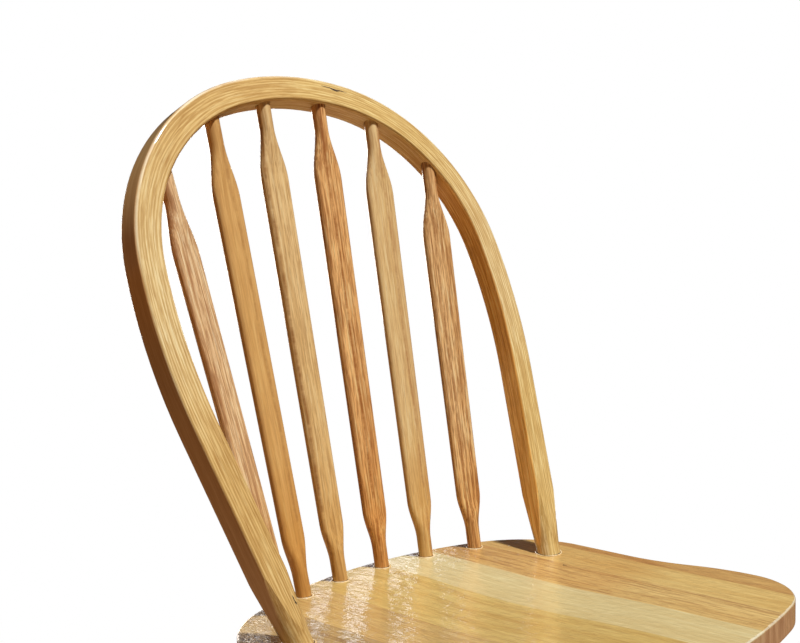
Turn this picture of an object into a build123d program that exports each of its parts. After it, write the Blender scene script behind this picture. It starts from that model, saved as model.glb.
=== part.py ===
from build123d import *
from math import asin, cos, degrees, pi, radians, sin, sqrt
import os

# Bow back side chair in solid wood, in millimetres.
# X runs to the sitter's left, Y to the back of the chair, Z up.
# While the pieces are made, Y is zero where the front of the bow meets the seat, and Z is zero at the floor.
# At the end everything moves along Y so that the origin is the middle of the base of the bounding box.

# Seat board
SEAT_HEIGHT = 452.0
SEAT_THICKNESS = 24.5
SEAT_WIDTH = 421.0
SEAT_WAIST_INSET = 19.0
SEAT_DEPTH = 407.0
SEAT_BEHIND_BOW = 129.5
SEAT_REAR_RADIUS = 300.0
SEAT_REAR_CORNER_RADIUS = 100.0
SEAT_FRONT_RADIUS = 640.0
SEAT_FRONT_CORNER_RADIUS = 71.0
SEAT_WAIST_STRAIGHT = 64.0
SEAT_TOP_EDGE_RADIUS = 2.0
SEAT_BOTTOM_EDGE_RADIUS = 4.0
DISH_DEPTH = 5.0
DISH_RADIUS = 174.0
DISH_BEHIND_FRONT = 227.5
DISH_LIP = 0.05
# Places of the glue lines between the staves, as shares of half the seat width from the middle
STAVE_EDGE_SHARES = (-0.79, -0.52, -0.241, 0.142, 0.416, 0.641, 0.849)

# Bent bow, whose centre line lies in one leaning plane
BOW_LEAN = 22.2
BOW_DEPTH = 23.5
BOW_WIDTH = 23.7
BOW_EDGE_RADIUS = 2.5
BOW_FOOT_INSET = 39.4
BOW_SPLAY = 10.56
BOW_LEG_LENGTH = 191.2
BOW_SIDE_RADIUS = 506.0
BOW_SIDE_SWEEP = 15.46
BOW_SHOULDER_RADIUS = 173.3
BOW_SHOULDER_SWEEP = 70.29
BOW_TENON_DIAMETER = 22.4
BOW_TENON_LENGTH = 16.5
BOW_TENON_ABOVE_SEAT = 6.0
BOW_FLARE_LENGTH = 66.0

# Flat bladed spindles
SPINDLE_ROW_END_GAP = 28.8
SPINDLE_FOOT_SHARES = (0.206, 0.604, 1.0)
SPINDLE_ROW_SPREAD = 26.9
SPINDLE_TOP_SHARES = (0.212, 0.61, 1.0)
SPINDLE_ROW_INSET = 17.1
SPINDLE_TOP_SETBACK = 10.0
SPINDLE_FOOT_DIAMETER = 13.3
SPINDLE_TOP_DIAMETER = 12.9
SPINDLE_FOOT_NECK = 17.8
SPINDLE_FOOT_SHOULDER = 37.1
SPINDLE_TOP_NECK = 20.5
SPINDLE_TOP_SHOULDER = 48.7
SPINDLE_FOOT_TENON = 16.0
SPINDLE_TOP_TENON = 14.0
BLADE_LOWER_WIDTH = 25.2
BLADE_UPPER_WIDTH = 29.0
BLADE_THICKNESS = 8.6
BLADE_EDGE_RADIUS = 4.0
BLADE_OUTER_TURN = 17.3
# The left end spindle was drilled a little off its place in the row
STRAY_FOOT_INWARD = 7.9
STRAY_FOOT_FORWARD = 5.4
STRAY_TOP_OUTWARD = 1.7
STRAY_TOP_BACK = 2.2
# Corner radius of a neck, as a share of its diameter: just short of a full round
NECK_ROUND_SHARE = 0.49
SHOULDER_SECTIONS = 5

# Turned legs, with their places measured from the seat's edges
FRONT_LEG_SIDE_INSET = 59.0
FRONT_LEG_TOP_INSET = 70.0
FRONT_LEG_SPLAY = 44.0
FRONT_FOOT_INSET = 24.0
REAR_LEG_SIDE_INSET = 64.5
REAR_LEG_TOP_INSET = 80.0
REAR_LEG_SPLAY = 50.0
REAR_FOOT_OVERHANG = 36.0
LEG_FOOT_DIAMETER = 23.0
LEG_RING_LOWER_DIAMETER = 32.0
LEG_BEAD_DIAMETER = 37.0
LEG_BEAD_HEIGHT = 9.0
LEG_WAIST_DIAMETER = 27.0
LEG_SWELL_DIAMETER = 39.0
LEG_TOP_DIAMETER = 30.0
LEG_TENON_DIAMETER = 24.0
LEG_TENON_LENGTH = 15.0
# Heights of the turned details, as shares of the leg's length from the floor
LEG_BEAD_SHARE = 0.46
LEG_WAIST_SHARE = 0.505
LEG_SWELL_SHARE = 0.74

# Turned stretchers
STRETCHER_HEIGHT = 160.0
SIDE_STRETCHER_END_DIAMETER = 15.0
SIDE_STRETCHER_DIAMETER = 24.0
SIDE_STRETCHER_TENON = 19.0
CROSS_STRETCHER_END_DIAMETER = 13.0
CROSS_STRETCHER_DIAMETER = 22.0
CROSS_STRETCHER_TENON = 15.0
# Where the stretcher has reached most of its swell, and how much, as shares
STRETCHER_SHOULDER_SHARE = 0.2
STRETCHER_SWELL_SHARE = 0.62

# Nailed glides under the legs
GLIDE_DIAMETER = 20.0
GLIDE_THICKNESS = 5.0
GLIDE_EDGE_RADIUS = 1.5
NAIL_DIAMETER = 2.4
NAIL_LENGTH = 20.0
NAIL_HEAD_DIAMETER = 6.0
NAIL_HEAD_THICKNESS = 1.2
NAIL_HEAD_RECESS = 2.2

# Clearances round the glued tenons, and one overrun for every cut
GLUE_CLEARANCE = 0.15
BOW_HOLE_CLEARANCE = 0.5
TENON_END_CLEARANCE = 0.5
NAIL_CLEARANCE = 0.05
OVERRUN = 30.0

SEAT_BOTTOM = SEAT_HEIGHT - SEAT_THICKNESS
SEAT_REAR_Y = SEAT_BEHIND_BOW
SEAT_FRONT_Y = SEAT_BEHIND_BOW - SEAT_DEPTH
HALF_WIDTH = SEAT_WIDTH / 2
HALF_WAIST = HALF_WIDTH - SEAT_WAIST_INSET
BOW_FOOT_X = HALF_WAIST - BOW_FOOT_INSET
SPINDLE_FOOT_HALF_SPAN = BOW_FOOT_X - SPINDLE_ROW_END_GAP
SPINDLE_TOP_HALF_SPAN = SPINDLE_FOOT_HALF_SPAN + SPINDLE_ROW_SPREAD


# The leaning plane of the bow: local X is the chair's X, local Y runs up the lean, local Z points forward
def bow_plane():
    lean = radians(BOW_LEAN)
    return Plane(origin=(0, 0, SEAT_HEIGHT), x_dir=(1, 0, 0), z_dir=(0, -cos(lean), sin(lean)))


def polar(angle, length):
    return Vector(length * cos(angle), length * sin(angle), 0)


# One side of the seat outline: rear arc, rear corner, waist, ogee, front corner, front arc
def seat_outline():
    rear_reach = SEAT_REAR_RADIUS - SEAT_REAR_CORNER_RADIUS
    front_reach = SEAT_FRONT_RADIUS - SEAT_FRONT_CORNER_RADIUS
    rear_turn = asin((HALF_WAIST - SEAT_REAR_CORNER_RADIUS) / rear_reach)
    front_turn = asin((HALF_WIDTH - SEAT_FRONT_CORNER_RADIUS) / front_reach)

    rear_centre = Vector(0, SEAT_REAR_Y - SEAT_REAR_RADIUS, 0)
    rear_corner = rear_centre + polar(pi / 2 - rear_turn, rear_reach)
    front_centre = Vector(0, SEAT_FRONT_Y + SEAT_FRONT_RADIUS, 0)
    front_corner = front_centre + polar(front_turn - pi / 2, front_reach)

    waist_top = rear_corner + Vector(SEAT_REAR_CORNER_RADIUS, 0, 0)
    waist_low = waist_top - Vector(0, SEAT_WAIST_STRAIGHT, 0)
    hip = front_corner + Vector(SEAT_FRONT_CORNER_RADIUS, 0, 0)
    # The ogee is two arcs of one radius that meet halfway
    ogee = hip - waist_low
    ogee_radius = (ogee.X ** 2 + ogee.Y ** 2) / (4 * ogee.X)
    ogee_turn = asin(-ogee.Y / (2 * ogee_radius))

    rear = CenterArc(rear_centre, SEAT_REAR_RADIUS, 90 - degrees(rear_turn), degrees(rear_turn))
    rear_round = CenterArc(rear_corner, SEAT_REAR_CORNER_RADIUS, 0, 90 - degrees(rear_turn))
    waist = Line(waist_top, waist_low)
    hollow_centre = waist_low + Vector(ogee_radius, 0, 0)
    hollow = CenterArc(hollow_centre, ogee_radius, 180, degrees(ogee_turn))
    swell_centre = hip - Vector(ogee_radius, 0, 0)
    swell = CenterArc(swell_centre, ogee_radius, 0, degrees(ogee_turn))
    front_round = CenterArc(
        front_corner, SEAT_FRONT_CORNER_RADIUS, degrees(front_turn) - 90, 90 - degrees(front_turn)
    )
    front = CenterArc(front_centre, SEAT_FRONT_RADIUS, -90, degrees(front_turn))
    half = [rear, rear_round, waist, hollow, swell, front_round, front]
    return half + [mirror(edge, about=Plane.YZ) for edge in half]


# Shallow round hollow for the sitter: a bowl that rolls over into the flat rim
def dish_tool():
    roll_radius = (DISH_RADIUS ** 2 + DISH_DEPTH ** 2) / (4 * DISH_DEPTH)
    roll_turn = degrees(asin(DISH_RADIUS / (2 * roll_radius)))
    bowl = CenterArc((0, roll_radius - DISH_DEPTH), roll_radius, -90, roll_turn)
    roll = CenterArc((DISH_RADIUS, -roll_radius), roll_radius, 90, roll_turn)
    wall = Polyline((DISH_RADIUS, 0), (DISH_RADIUS, OVERRUN), (0, OVERRUN), (0, -DISH_DEPTH))
    profile = Plane.XZ * make_face([bowl, roll, *wall.edges()])
    middle = Pos(0, SEAT_FRONT_Y + DISH_BEHIND_FRONT, SEAT_HEIGHT + DISH_LIP)
    return middle * revolve(profile, Axis.Z)


def rod(start, end, diameter):
    span = end - start
    return Plane(origin=start, z_dir=span) * extrude(Circle(diameter / 2), span.length)


# The legs run from the floor to the underside of the seat
def leg_lines():
    front_top_y = SEAT_FRONT_Y + FRONT_LEG_TOP_INSET
    front_foot_y = SEAT_FRONT_Y + FRONT_FOOT_INSET
    rear_top_y = SEAT_REAR_Y - REAR_LEG_TOP_INSET
    rear_foot_y = SEAT_REAR_Y + REAR_FOOT_OVERHANG
    front_top_x = HALF_WIDTH - FRONT_LEG_SIDE_INSET
    front_foot_x = front_top_x + FRONT_LEG_SPLAY
    rear_top_x = HALF_WAIST - REAR_LEG_SIDE_INSET
    rear_foot_x = rear_top_x + REAR_LEG_SPLAY
    lines = {}
    for side, sign in (("left", -1), ("right", 1)):
        lines["front_" + side] = (
            Vector(sign * front_foot_x, front_foot_y, 0),
            Vector(sign * front_top_x, front_top_y, SEAT_BOTTOM),
        )
        lines["rear_" + side] = (
            Vector(sign * rear_foot_x, rear_foot_y, 0),
            Vector(sign * rear_top_x, rear_top_y, SEAT_BOTTOM),
        )
    return lines


# Centre line of the bow's right half in its own plane: leg, side, shoulder, crown
def bow_edges(offset):
    heading = radians(90 - BOW_SPLAY)
    point = Vector(BOW_FOOT_X, 0, 0)
    point += polar(heading - pi / 2, offset)
    below = point - polar(heading, OVERRUN)
    point += polar(heading, BOW_LEG_LENGTH)
    edges = [Line(below, point)]
    crown_sweep = radians(90 + BOW_SPLAY - BOW_SIDE_SWEEP - BOW_SHOULDER_SWEEP)
    for radius, sweep in (
        (BOW_SIDE_RADIUS, radians(BOW_SIDE_SWEEP)),
        (BOW_SHOULDER_RADIUS, radians(BOW_SHOULDER_SWEEP)),
        (None, crown_sweep),
    ):
        if radius is None:
            reach = point.X / sin(crown_sweep)
        else:
            reach = radius + offset
        start_angle = heading - pi / 2
        centre = point - polar(start_angle, reach)
        edges.append(CenterArc(centre, reach, degrees(start_angle), degrees(sweep)))
        heading += sweep
        point = centre + polar(heading - pi / 2, reach)
    return edges


# Points where the bow's two leg lines cross the plane of the seat's top, and the way they run
def bow_legs():
    plane = bow_plane()
    middle_depth = -BOW_DEPTH / 2
    legs = []
    for sign in (-1, 1):
        low = Vector(sign * BOW_FOOT_X, 0, middle_depth)
        high = low + Vector(sign * sin(radians(BOW_SPLAY)), cos(radians(BOW_SPLAY)), 0) * BOW_LEG_LENGTH
        start = plane.from_local_coords(low)
        run = (plane.from_local_coords(high) - start).normalized()
        crossing = start + run * ((SEAT_HEIGHT - start.Z) / run.Z)
        legs.append((crossing, run))
    return legs


# Height of the bow's inner outline above a point of the seat line, in the bow's own plane
def inner_height(across):
    above_bow = BOW_LEG_LENGTH + BOW_SIDE_RADIUS
    crossing_line = Line((across, BOW_LEG_LENGTH), (across, above_bow))
    heights = []
    for edge in bow_edges(-BOW_WIDTH / 2)[1:]:
        heights += [point.Y for point in edge.find_intersection_points(crossing_line)]
    return max(heights)


# Point of a spindle's foot on the seat, on the arc of the row
def spindle_foot(across):
    row_radius = SEAT_REAR_RADIUS - SPINDLE_ROW_INSET
    row_centre_y = SEAT_REAR_Y - SEAT_REAR_RADIUS
    return Vector(across, row_centre_y + sqrt(row_radius ** 2 - across ** 2), SEAT_HEIGHT)


# Point where a spindle enters the bow, set back from the bow's front
def spindle_top(across, setback):
    return bow_plane().from_local_coords(Vector(across, inner_height(abs(across)), -setback))


# Foot and top of each spindle, from left to right, with the turn of its blade
def spindle_lines():
    foot_shares = [-share for share in reversed(SPINDLE_FOOT_SHARES)] + list(SPINDLE_FOOT_SHARES)
    top_shares = [-share for share in reversed(SPINDLE_TOP_SHARES)] + list(SPINDLE_TOP_SHARES)
    lines = []
    for foot_share, top_share in zip(foot_shares, top_shares):
        foot = spindle_foot(foot_share * SPINDLE_FOOT_HALF_SPAN)
        top = spindle_top(top_share * SPINDLE_TOP_HALF_SPAN, SPINDLE_TOP_SETBACK)
        lines.append((foot, top, foot_share * BLADE_OUTER_TURN))
    foot, top, turn = lines[0]
    foot += Vector(STRAY_FOOT_INWARD, -STRAY_FOOT_FORWARD, 0)
    top = spindle_top(top.X - STRAY_TOP_OUTWARD, SPINDLE_TOP_SETBACK + STRAY_TOP_BACK)
    lines[0] = (foot, top, turn)
    return lines


def blade_section(width, thickness, corner, height):
    return Pos(0, 0, height) * RectangleRounded(width, thickness, corner)


# A shoulder swells from a round neck to the flat blade along half a cosine wave
def shoulder(neck, blade_width, neck_height, blade_height):
    sections = []
    for step in range(SHOULDER_SECTIONS):
        share = step / (SHOULDER_SECTIONS - 1)
        ease = (1 - cos(pi * share)) / 2
        width = neck + (blade_width - neck) * ease
        thickness = neck + (BLADE_THICKNESS - neck) * ease
        neck_corner = neck * NECK_ROUND_SHARE
        corner = neck_corner + (BLADE_EDGE_RADIUS - neck_corner) * ease
        height = neck_height + (blade_height - neck_height) * share
        sections.append(blade_section(width, thickness, corner, height))
    if neck_height > blade_height:
        sections.reverse()
    return loft(sections)


def neck_piece(diameter, low, high):
    section = blade_section(diameter, diameter, diameter * NECK_ROUND_SHARE, low)
    return extrude(section, high - low)


def spindle(foot, top, turn):
    axis = top - foot
    length = axis.length
    run = axis.normalized()
    face_x = Vector(cos(radians(turn)), -sin(radians(turn)), 0)
    face_x = (face_x - run * face_x.dot(run)).normalized()
    lower_blade = SPINDLE_FOOT_NECK + SPINDLE_FOOT_SHOULDER
    upper_blade = length - SPINDLE_TOP_NECK - SPINDLE_TOP_SHOULDER
    top_neck = length - SPINDLE_TOP_NECK

    body = neck_piece(SPINDLE_FOOT_DIAMETER, -SPINDLE_FOOT_TENON, SPINDLE_FOOT_NECK)
    body += shoulder(SPINDLE_FOOT_DIAMETER, BLADE_LOWER_WIDTH, SPINDLE_FOOT_NECK, lower_blade)
    low_section = blade_section(BLADE_LOWER_WIDTH, BLADE_THICKNESS, BLADE_EDGE_RADIUS, lower_blade)
    high_section = blade_section(BLADE_UPPER_WIDTH, BLADE_THICKNESS, BLADE_EDGE_RADIUS, upper_blade)
    body += loft([low_section, high_section], ruled=True)
    body += shoulder(SPINDLE_TOP_DIAMETER, BLADE_UPPER_WIDTH, top_neck, upper_blade)
    body += neck_piece(SPINDLE_TOP_DIAMETER, top_neck, length + SPINDLE_TOP_TENON)
    return Plane(origin=foot, x_dir=face_x, z_dir=run) * body


# Seat board with its dish, edges and tenon holes, still in one piece
def seat_board():
    face = make_face(seat_outline())
    board = Pos(0, 0, SEAT_BOTTOM) * extrude(face, SEAT_THICKNESS)
    board = fillet(board.faces().sort_by(Axis.Z)[-1].edges(), SEAT_TOP_EDGE_RADIUS)
    board = fillet(board.faces().sort_by(Axis.Z)[0].edges(), SEAT_BOTTOM_EDGE_RADIUS)
    board -= dish_tool()
    for crossing, run in bow_legs():
        depth = BOW_TENON_LENGTH + TENON_END_CLEARANCE
        hole = BOW_TENON_DIAMETER + 2 * GLUE_CLEARANCE
        board -= rod(crossing - run * depth, crossing + run * OVERRUN, hole)
    for foot, top, _ in spindle_lines():
        run = (top - foot).normalized()
        depth = SPINDLE_FOOT_TENON + TENON_END_CLEARANCE
        hole = SPINDLE_FOOT_DIAMETER + 2 * GLUE_CLEARANCE
        board -= rod(foot - run * depth, foot + run * OVERRUN, hole)
    for foot, top in leg_lines().values():
        run = (top - foot).normalized()
        depth = LEG_TENON_LENGTH + TENON_END_CLEARANCE
        board -= rod(top - run * OVERRUN, top + run * depth, LEG_TENON_DIAMETER + 2 * GLUE_CLEARANCE)
    return board


# The board is glued up from staves that run front to back
def staves():
    board = seat_board()
    edges = [share * HALF_WIDTH for share in STAVE_EDGE_SHARES]
    edges = [-HALF_WIDTH - OVERRUN] + edges + [HALF_WIDTH + OVERRUN]
    pieces = {}
    for number, (left, right) in enumerate(zip(edges, edges[1:]), 1):
        slab = Box(right - left, SEAT_DEPTH + 2 * OVERRUN, SEAT_THICKNESS + 2 * OVERRUN)
        middle_y = (SEAT_FRONT_Y + SEAT_REAR_Y) / 2
        slab = Pos((left + right) / 2, middle_y, SEAT_BOTTOM + SEAT_THICKNESS / 2) * slab
        pieces[f"seat_stave_{number}"] = board & slab
    return pieces


# Round tenon and its flare: the only part of a bow leg that survives near the seat
def flare(crossing, run):
    tenon_radius = BOW_TENON_DIAMETER / 2
    corner_reach = sqrt(BOW_WIDTH ** 2 + BOW_DEPTH ** 2) / 2
    slope = (corner_reach - tenon_radius) / BOW_FLARE_LENGTH
    flare_top = BOW_TENON_ABOVE_SEAT + BOW_FLARE_LENGTH + OVERRUN
    profile = Polyline(
        (0, -BOW_TENON_LENGTH),
        (tenon_radius, -BOW_TENON_LENGTH),
        (tenon_radius, BOW_TENON_ABOVE_SEAT),
        (tenon_radius + slope * (flare_top - BOW_TENON_ABOVE_SEAT), flare_top),
        (0, flare_top),
        close=True,
    )
    return Plane(origin=crossing, z_dir=run) * revolve(Plane.XZ * make_face(profile), Axis.Z)


def bow():
    outer = bow_edges(BOW_WIDTH / 2)
    inner = bow_edges(-BOW_WIDTH / 2)
    half = [Line(outer[0] @ 0, inner[0] @ 0), *outer, *inner]
    face = make_face(half + [mirror(edge, about=Plane.YZ) for edge in half])
    hoop = extrude(face, -BOW_DEPTH)
    rims = [e for f in hoop.faces().filter_by(Axis.Z) for e in f.edges()]
    long_edges = [e for e in rims if e.length > BOW_WIDTH + BOW_DEPTH]
    hoop = bow_plane() * fillet(long_edges, BOW_EDGE_RADIUS)

    for crossing, run in bow_legs():
        reach = BOW_TENON_ABOVE_SEAT + BOW_FLARE_LENGTH
        side = BOW_WIDTH + 2 * OVERRUN
        block = Box(side, side, reach + 2 * OVERRUN, align=(Align.CENTER, Align.CENTER, Align.MAX))
        block = Plane(origin=crossing, z_dir=run) * (Pos(0, 0, reach) * block)
        hoop -= block - flare(crossing, run)
    for foot, top, _ in spindle_lines():
        run = (top - foot).normalized()
        depth = SPINDLE_TOP_TENON + TENON_END_CLEARANCE
        hole = SPINDLE_TOP_DIAMETER + 2 * BOW_HOLE_CLEARANCE
        hoop -= rod(top - run * OVERRUN, top + run * depth, hole)
    return hoop


# Radius of a leg at a height up its axis, on the straight taper below the bead
def leg_radius_low(share):
    reach_share = share / LEG_BEAD_SHARE
    return (LEG_FOOT_DIAMETER + (LEG_RING_LOWER_DIAMETER - LEG_FOOT_DIAMETER) * reach_share) / 2


def turned_leg(length):
    bead_low = LEG_BEAD_SHARE * length
    bead_high = bead_low + LEG_BEAD_HEIGHT
    bead_middle = (bead_low + bead_high) / 2
    waist = LEG_WAIST_SHARE * length
    swell = LEG_SWELL_SHARE * length
    foot_radius = LEG_FOOT_DIAMETER / 2
    ring_radius = LEG_RING_LOWER_DIAMETER / 2
    waist_radius = LEG_WAIST_DIAMETER / 2
    top_radius = LEG_TOP_DIAMETER / 2
    taper = Line((foot_radius, 0), (ring_radius, bead_low))
    bead_radius = LEG_BEAD_DIAMETER / 2
    bead = ThreePointArc((ring_radius, bead_low), (bead_radius, bead_middle), (ring_radius, bead_high))
    swell_radius = LEG_SWELL_DIAMETER / 2
    start_slope = (waist_radius - ring_radius, ring_radius - waist_radius)
    end_slope = (top_radius - swell_radius, length - swell)
    cove = Spline(
        (ring_radius, bead_high),
        (waist_radius, waist),
        (swell_radius, swell),
        (top_radius, length),
        tangents=(start_slope, end_slope),
    )
    rest = Polyline(
        (top_radius, length),
        (top_radius, length + OVERRUN),
        (0, length + OVERRUN),
        (0, -OVERRUN),
        (foot_radius, -OVERRUN),
        (foot_radius, 0),
    )
    profile = make_face([taper, bead, cove, *rest.edges()])
    return revolve(Plane.XZ * profile, Axis.Z)


def leg(foot, top, stretcher_line):
    run = (top - foot).normalized()
    length = (top - foot).length
    turned = Plane(origin=foot, z_dir=run) * turned_leg(length)
    height = SEAT_BOTTOM - GLIDE_THICKNESS
    slab = Box(SEAT_DEPTH, SEAT_DEPTH, height, align=(Align.CENTER, Align.CENTER, Align.MIN))
    middle = (foot + top) / 2
    body = turned & (Pos(middle.X, middle.Y, GLIDE_THICKNESS) * slab)
    body += rod(top - run * LEG_TENON_LENGTH, top + run * LEG_TENON_LENGTH, LEG_TENON_DIAMETER)

    entry, far = stretcher_line
    along = (far - entry).normalized()
    tip = entry - along * (side_tenon_past_axis() + TENON_END_CLEARANCE)
    body -= rod(tip, entry + along * OVERRUN, SIDE_STRETCHER_END_DIAMETER + 2 * GLUE_CLEARANCE)
    nail_foot = glide_centre(foot, top)
    nail_hole_top = nail_foot + Vector(0, 0, NAIL_HEAD_RECESS + NAIL_LENGTH + TENON_END_CLEARANCE)
    body -= rod(nail_foot, nail_hole_top, NAIL_DIAMETER + 2 * NAIL_CLEARANCE)
    return body


# How far a side stretcher's tenon runs past the leg's axis
def side_tenon_past_axis():
    share = STRETCHER_HEIGHT / SEAT_BOTTOM
    return SIDE_STRETCHER_TENON - leg_radius_low(share)


def point_at_height(foot, top, height):
    return foot + (top - foot) * ((height - foot.Z) / (top.Z - foot.Z))


# Each side stretcher joins the axes of a front and a rear leg at one height
def side_line(side):
    lines = leg_lines()
    front = point_at_height(*lines["front_" + side], STRETCHER_HEIGHT)
    rear = point_at_height(*lines["rear_" + side], STRETCHER_HEIGHT)
    return front, rear


# Spindle shape along local Z, from end to end, fullest in the middle
def turned_stretcher(length, end_diameter, diameter):
    end_radius = end_diameter / 2
    middle_radius = diameter / 2
    shoulder_radius = end_radius + (middle_radius - end_radius) * STRETCHER_SWELL_SHARE
    inset = STRETCHER_SHOULDER_SHARE * length
    swell = Spline(
        (end_radius, 0),
        (shoulder_radius, inset),
        (middle_radius, length / 2),
        (shoulder_radius, length - inset),
        (end_radius, length),
    )
    rest = Polyline((end_radius, length), (0, length), (0, 0), (end_radius, 0))
    return revolve(Plane.XZ * make_face([swell, *rest.edges()]), Axis.Z)


def stretcher(start, end, past_start, past_end, bare_ends, end_diameter, diameter):
    run = (end - start).normalized()
    body_start = start + run * bare_ends
    body_length = (end - start).length - 2 * bare_ends
    body = Plane(origin=body_start, z_dir=run) * turned_stretcher(body_length, end_diameter, diameter)
    body += rod(start - run * past_start, body_start, end_diameter)
    body += rod(end - run * bare_ends, end + run * past_end, end_diameter)
    return body


def side_stretcher(side):
    front, rear = side_line(side)
    past = side_tenon_past_axis()
    bare = leg_radius_low(STRETCHER_HEIGHT / SEAT_BOTTOM)
    body = stretcher(front, rear, past, past, bare, SIDE_STRETCHER_END_DIAMETER, SIDE_STRETCHER_DIAMETER)
    entry, far = cross_line(side)
    along = (far - entry).normalized()
    tip = entry - along * (cross_tenon_past_axis() + TENON_END_CLEARANCE)
    body -= rod(tip, entry + along * OVERRUN, CROSS_STRETCHER_END_DIAMETER + 2 * GLUE_CLEARANCE)
    return body


def cross_tenon_past_axis():
    return CROSS_STRETCHER_TENON - SIDE_STRETCHER_DIAMETER / 2


# The cross stretcher joins the middles of the two side stretchers
def cross_line(side):
    middles = {}
    for name in ("left", "right"):
        front, rear = side_line(name)
        middles[name] = (front + rear) / 2
    other = "right" if side == "left" else "left"
    return middles[side], middles[other]


def cross_stretcher():
    left, right = cross_line("left")
    past = cross_tenon_past_axis()
    bare = SIDE_STRETCHER_DIAMETER / 2
    return stretcher(left, right, past, past, bare, CROSS_STRETCHER_END_DIAMETER, CROSS_STRETCHER_DIAMETER)


# Middle of a glide on the floor, under the middle of the leg's level end
def glide_centre(foot, top):
    level = point_at_height(foot, top, GLIDE_THICKNESS)
    return Vector(level.X, level.Y, 0)


def glide(foot, top):
    disc = extrude(Circle(GLIDE_DIAMETER / 2), GLIDE_THICKNESS)
    disc = fillet(disc.faces().sort_by(Axis.Z)[0].edges(), GLIDE_EDGE_RADIUS)
    disc -= extrude(Circle(NAIL_HEAD_DIAMETER / 2 + NAIL_CLEARANCE), NAIL_HEAD_RECESS)
    disc -= extrude(Circle(NAIL_DIAMETER / 2 + NAIL_CLEARANCE), GLIDE_THICKNESS)
    return Pos(glide_centre(foot, top)) * disc


def nail(foot, top):
    head = Pos(0, 0, NAIL_HEAD_RECESS - NAIL_HEAD_THICKNESS) * extrude(
        Circle(NAIL_HEAD_DIAMETER / 2), NAIL_HEAD_THICKNESS
    )
    shank = Pos(0, 0, NAIL_HEAD_RECESS) * extrude(Circle(NAIL_DIAMETER / 2), NAIL_LENGTH)
    return Pos(glide_centre(foot, top)) * (head + shank)


def all_pieces():
    pieces = staves()
    pieces["bow"] = bow()
    for number, line in enumerate(spindle_lines(), 1):
        pieces[f"spindle_{number}"] = spindle(*line)
    for name, (foot, top) in leg_lines().items():
        end, side = name.split("_")
        front, rear = side_line(side)
        stretcher_line = (front, rear) if end == "front" else (rear, front)
        pieces["leg_" + name] = leg(foot, top, stretcher_line)
        pieces["glide_" + name] = glide(foot, top)
    for side in ("left", "right"):
        pieces["side_stretcher_" + side] = side_stretcher(side)
    pieces["cross_stretcher"] = cross_stretcher()
    pieces["glide_nails"] = Compound([nail(foot, top).solid() for foot, top in leg_lines().values()])
    return pieces


def main():
    os.makedirs("parts", exist_ok=True)
    pieces = all_pieces()
    box = Compound([solid for piece in pieces.values() for solid in piece.solids()]).bounding_box()
    shift = Pos(0, -(box.min.Y + box.max.Y) / 2, 0)
    for name, piece in pieces.items():
        export_step(shift * piece, f"parts/{name}.step")
    print("overall size", box.size)


main()
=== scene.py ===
from math import cos, pi, radians, sin
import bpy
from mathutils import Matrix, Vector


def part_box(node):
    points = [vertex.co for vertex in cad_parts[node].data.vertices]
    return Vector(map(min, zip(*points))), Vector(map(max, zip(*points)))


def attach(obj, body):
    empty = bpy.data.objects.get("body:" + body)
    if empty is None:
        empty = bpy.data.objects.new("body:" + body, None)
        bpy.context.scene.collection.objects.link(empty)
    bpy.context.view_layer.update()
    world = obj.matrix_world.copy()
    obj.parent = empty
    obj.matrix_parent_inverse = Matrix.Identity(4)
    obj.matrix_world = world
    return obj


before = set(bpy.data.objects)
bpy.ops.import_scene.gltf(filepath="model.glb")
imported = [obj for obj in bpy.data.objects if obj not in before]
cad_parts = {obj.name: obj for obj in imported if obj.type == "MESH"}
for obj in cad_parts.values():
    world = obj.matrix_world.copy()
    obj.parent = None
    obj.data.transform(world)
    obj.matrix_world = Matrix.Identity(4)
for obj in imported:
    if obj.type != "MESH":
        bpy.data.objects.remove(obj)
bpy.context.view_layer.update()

from types import SimpleNamespace

import bmesh
import bpy
from mathutils import Matrix, Vector

# Lengths are in metres and angles in degrees, unless a comment says otherwise.

# Photograph: size and focal length in pixels, and the pixel that the lens looked at
PHOTO_WIDTH = 800
PHOTO_HEIGHT = 643
AXIS_PIXEL_X = 620.0
AXIS_PIXEL_Y = 330.1
FOCAL_PIXELS = 1305.8
SENSOR_WIDTH_MM = 36.0

# Camera, measured from the middle of the bow's feet on the top of the seat
CAMERA_PLACE = Vector((-0.7914, -0.7980, 0.3714))
CAMERA_AZIMUTH = -52.654
CAMERA_ELEVATION = 7.01
CAMERA_ROLL = -0.486

# The bow's centre line, which its grain follows: a straight leg, then a side, a shoulder and a
# crown arc
BOW_BEHIND_SEAT_REAR = 0.1295
BOW_LEAN = 22.2
BOW_SPLAY = 10.56
BOW_FOOT_X = 0.1521
BOW_LEG_LENGTH = 0.1912
BOW_SIDE_RADIUS = 0.506
BOW_SIDE_SWEEP = 15.46
BOW_SHOULDER_RADIUS = 0.1733
BOW_SHOULDER_SWEEP = 70.29

# The bow from front to back, and the round feet that enter the seat
BOW_DEPTH = 0.0235
BOW_FOOT_RADIUS = 0.0112
SPINDLE_FOOT_RADIUS = 0.00665

UP = Vector((0, 0, 1))
ACROSS = Vector((1, 0, 0))
BACK = Vector((0, 1, 0))

# Up the leaning bow, and square into its front face
lean = radians(BOW_LEAN)
splay = radians(BOW_SPLAY)
UP_BOW = Vector((0, sin(lean), cos(lean)))
INTO_BOW = Vector((0, cos(lean), -sin(lean)))

# The high corner of the seat's box, and the middle between the bow's feet on the seat
stave_highs = [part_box(f"seat_stave_{number}")[1] for number in range(1, 9)]
seat_high = Vector([max(high[axis] for high in stave_highs) for axis in range(3)])
bow_foot = Vector((0, seat_high.y - BOW_BEHIND_SEAT_REAR, seat_high.z))

# Sockets of a mix node that are for colours
MIX_SHARE = 0
MIX_FIRST = 6
MIX_SECOND = 7
MIX_RESULT = 2


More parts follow.
